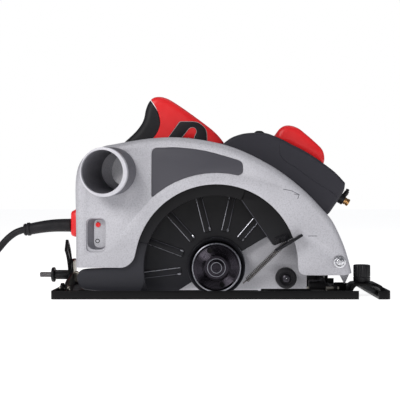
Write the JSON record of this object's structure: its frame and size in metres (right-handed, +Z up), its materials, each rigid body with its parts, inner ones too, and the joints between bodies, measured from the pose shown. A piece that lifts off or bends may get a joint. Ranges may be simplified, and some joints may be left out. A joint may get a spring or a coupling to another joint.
{
  "type": "circular saw",
  "caption": "Hand-held corded circular saw with cast upper guard, swinging lower guard, dust port, rear handle and tilting sole plate; no blade fitted.",
  "frame": {"origin": "centre of the sole plate's underside", "axes": "+X forward in the cutting direction, +Y towards the motor, +Z up"},
  "size_m": [0.5275, 0.2333, 0.1952],
  "materials": {
    "cast_aluminium": "fine cast, bead-blasted",
    "black_paint": "satin black paint, worn to metal at the edges",
    "zinc": "zinc plated",
    "dark_steel": "machined, oiled",
    "bright_steel": "bright machined",
    "guard_black": "black coated aluminium",
    "dark_plastic": "moulded, fine grain",
    "black_plastic": "moulded, satin",
    "red_plastic": "moulded, semi-gloss",
    "rubber": "matt, over-moulded",
    "badge_grey": "satin",
    "brass": "turned",
    "copper": "turned copper",
    "laminated": "stacked sheet"
  },
  "bodies": {
    "base": {"base_plate": "black_paint", "fence_bridge": "black_paint", "front_bevel_quadrant": "black_paint", "rear_bevel_quadrant": "black_paint", "front_bevel_pin": "zinc", "rear_bevel_pin": "zinc"},
    "fence_knob": {"fence_clamp_knob": "black_plastic"},
    "tilt_frame": {"front_tilt_bracket": "black_paint", "rear_tilt_bracket": "zinc", "depth_quadrant": "zinc", "rear_lock_bolt": "zinc"},
    "rear_nut": {"rear_lock_nut": "black_plastic"},
    "front_lever": {"front_lock_lever": "black_plastic"},
    "saw_body": {"upper_guard": "cast_aluminium", "guard_badge": "badge_grey", "gear_case": "cast_aluminium", "gear_cover": "cast_aluminium", "depth_pivot_bolt": "bright_steel", "depth_lock_bolt": "zinc", "guard_bumper": "rubber", "return_spring": "dark_steel", "spindle_bearing": "bright_steel", "motor_housing": "dark_plastic", "motor_end_cap": "dark_plastic", "stator_core": "laminated", "armature_bearing": "bright_steel", "carbon_brush_front": "laminated", "brush_cap_front": "black_plastic", "carbon_brush_rear": "laminated", "brush_cap_rear": "black_plastic", "front_housing": "dark_plastic", "front_grip": "red_plastic", "laser_module": "black_plastic", "laser_barrel": "brass", "handle_shell_right": "red_plastic", "handle_shell_left": "red_plastic", "handle_inlay_right": "rubber", "handle_inlay_left": "rubber", "handle_grip": "rubber", "trigger_switch": "black_plastic", "cord_boot": "rubber", "power_cord": "rubber", "cord_coil": "rubber", "cord_plug": "rubber"},
    "guard": {"lower_guard": "guard_black", "guard_lever": "guard_black"},
    "spindle_set": {"spindle": "dark_steel", "drive_gear": "dark_steel", "inner_flange": "dark_steel", "outer_flange": "dark_steel", "blade_bolt": "dark_steel"},
    "armature": {"armature_shaft": "bright_steel", "cooling_fan": "black_plastic", "rotor_core": "laminated", "commutator": "copper"},
    "trigger_body": {"trigger": "red_plastic"},
    "lock_off": {"lock_off_button": "black_plastic"},
    "spindle_lock": {"spindle_lock_button": "black_plastic"},
    "laser_button": {"laser_switch": "black_plastic"},
    "depth_lever": {"depth_lock_lever": "black_plastic"}
  },
  "joints": [
    {"name": "bevel_tilt", "type": "hinge", "parent": "base", "child": "tilt_frame", "pos_m": [0, -0.048, 0.008], "axis": [1, 0, 0], "range_deg": [0, 45]},
    {"name": "depth_pivot", "type": "hinge", "parent": "tilt_frame", "child": "saw_body", "pos_m": [0.109, 0, 0.033], "axis": [0, 1, 0], "range_deg": [0, 35]},
    {"name": "guard_swing", "type": "hinge", "parent": "saw_body", "child": "guard", "pos_m": [-0.004, 0, 0.027], "axis": [0, -1, 0], "range_deg": [0, 134], "stiffness_Nm_per_rad": 0.03, "springref_deg": 166.16, "deforming": ["return_spring"]},
    {"name": "spindle_spin", "type": "hinge", "parent": "saw_body", "child": "spindle_set", "pos_m": [-0.004, 0, 0.027], "axis": [0, 1, 0], "continuous": true},
    {"name": "armature_spin", "type": "hinge", "parent": "saw_body", "child": "armature", "pos_m": [0.00656, 0, 0.04687], "axis": [0, 1, 0], "continuous": true},
    {"name": "rear_nut_turn", "type": "hinge", "parent": "tilt_frame", "child": "rear_nut", "pos_m": [-0.155, -0.00499, 0.0173], "axis": [1, 0, 0], "range_deg": [0, 360]},
    {"name": "front_lever_turn", "type": "hinge", "parent": "tilt_frame", "child": "front_lever", "pos_m": [0.11, 0.01973, 0.02117], "axis": [-1, 0, 0], "range_deg": [0, 60]},
    {"name": "fence_knob_turn", "type": "hinge", "parent": "base", "child": "fence_knob", "pos_m": [0.132, -0.04, 0.02], "axis": [0, 0, 1], "range_deg": [0, 360]},
    {"name": "depth_lever_turn", "type": "hinge", "parent": "saw_body", "child": "depth_lever", "pos_m": [-0.06576, 0, 0.04216], "axis": [0, 1, 0], "range_deg": [0, 50]},
    {"name": "trigger_pull", "type": "slide", "parent": "saw_body", "child": "trigger_body", "axis": [-0.8351, 0, 0.5501], "range_m": [0, 0.006], "stiffness_N_per_m": 900, "springref_m": -0.003},
    {"name": "lock_off_press", "type": "slide", "parent": "saw_body", "child": "lock_off", "axis": [0, -1, 0], "range_m": [0, 0.003], "stiffness_N_per_m": 600, "springref_m": -0.002},
    {"name": "spindle_lock_press", "type": "slide", "parent": "saw_body", "child": "spindle_lock", "axis": [-1, 0, 0], "range_m": [0, 0.003], "stiffness_N_per_m": 600, "springref_m": -0.002},
    {"name": "laser_switch_press", "type": "slide", "parent": "saw_body", "child": "laser_button", "axis": [0, 0, -1], "range_m": [0, 0.0015], "stiffness_N_per_m": 600, "springref_m": -0.002}
  ],
  "couplings": [
    {"joint": "armature_spin", "follows": "spindle_spin", "ratio": -4}
  ]
}
